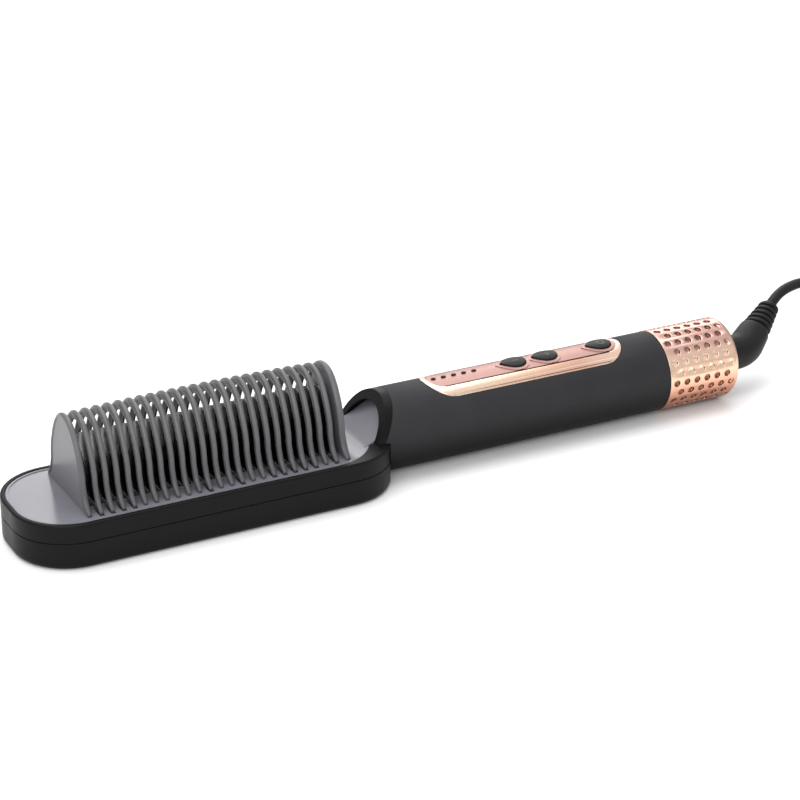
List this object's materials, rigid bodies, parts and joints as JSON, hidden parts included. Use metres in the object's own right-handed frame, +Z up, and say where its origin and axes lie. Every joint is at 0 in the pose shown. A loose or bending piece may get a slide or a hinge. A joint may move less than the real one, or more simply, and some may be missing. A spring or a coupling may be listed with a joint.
{
  "type": "hair straightening brush",
  "caption": "Heated comb brush with arched ribs over a finned plate, round grip, button panel, dimpled collar and swivel cord.",
  "frame": {"origin": "on the table, under the middle of the brush without its strain relief and cord", "axes": "+X along the brush from the comb tip to the cord end, +Z up out of the comb, +Y to the left seen from the cord end"},
  "size_m": [0.4612, 0.0747, 0.0479],
  "materials": {
    "shell_black": "moulded, fine satin gloss",
    "comb_grey": "moulded heat-proof plastic, satin",
    "heater_metal": "bright coated metal",
    "seal_rubber": "soft silicone",
    "ceramic": "fired ceramic",
    "heat_sheet": "thin insulating sheet",
    "steel": "plain stamped or turned steel",
    "grip_soft": "soft-touch coating",
    "panel_rose": "glossy rose-gold plating",
    "strip_rose": "satin rose-gold plating",
    "button_black": "smooth gloss",
    "light_clear": "clear light guide",
    "inner_plastic": "plain moulded",
    "board_green": "solder-masked circuit board",
    "electronics": "moulded component",
    "collar_rose": "rose-gold plated, fine turned",
    "contact_brass": "plated contact metal",
    "cord_black": "flexible cord sheath",
    "plug_pin": "nickel-plated pins"
  },
  "bodies": {
    "brush": {"lower_shell": "shell_black", "upper_shell": "shell_black", "comb_cover": "comb_grey", "heating_plate": "heater_metal", "heater_gasket": "seal_rubber", "heater_elements": "ceramic", "insulation_sheet": "heat_sheet", "clamp_plate": "steel", "clamp_screws": "steel", "thermistor": "electronics", "thermal_fuse": "steel", "head_screws": "steel", "heater_leads": "cord_black", "handle_sleeve": "grip_soft", "panel_frame": "panel_rose", "panel_insert": "strip_rose", "light_guide": "light_clear", "indicator_lights": "light_clear", "circuit_board": "board_green", "board_carrier": "inner_plastic", "board_screws": "steel", "key_switches": "electronics", "film_capacitor": "electronics", "triac": "electronics", "tail_collar": "collar_rose", "collar_liner": "inner_plastic", "end_cap": "inner_plastic", "contact_block": "inner_plastic", "contact_blades": "contact_brass", "supply_leads": "cord_black"},
    "minus_button": {"minus_button": "button_black"},
    "plus_button": {"plus_button": "button_black"},
    "power_button": {"power_button": "button_black"},
    "cord_swivel": {"swivel_spindle": "inner_plastic", "contact_rings": "contact_brass", "strain_relief": "cord_black", "power_cord": "cord_black", "cord_coil": "cord_black", "cord_tail": "cord_black", "plug_body": "cord_black", "plug_pins": "plug_pin"}
  },
  "joints": [
    {"name": "minus_press", "type": "slide", "parent": "brush", "child": "minus_button", "axis": [0, 0, -1], "range_m": [0, 0.0006], "stiffness_N_per_m": 1500, "springref_m": -0.0003},
    {"name": "plus_press", "type": "slide", "parent": "brush", "child": "plus_button", "axis": [0, 0, -1], "range_m": [0, 0.0006], "stiffness_N_per_m": 1500, "springref_m": -0.0003},
    {"name": "power_press", "type": "slide", "parent": "brush", "child": "power_button", "axis": [0, 0, -1], "range_m": [0, 0.0006], "stiffness_N_per_m": 1500, "springref_m": -0.0003},
    {"name": "cord_swivel_turn", "type": "hinge", "parent": "brush", "child": "cord_swivel", "pos_m": [0.1406, 0, 0.0157], "axis": [1, 0, 0], "continuous": true}
  ]
}
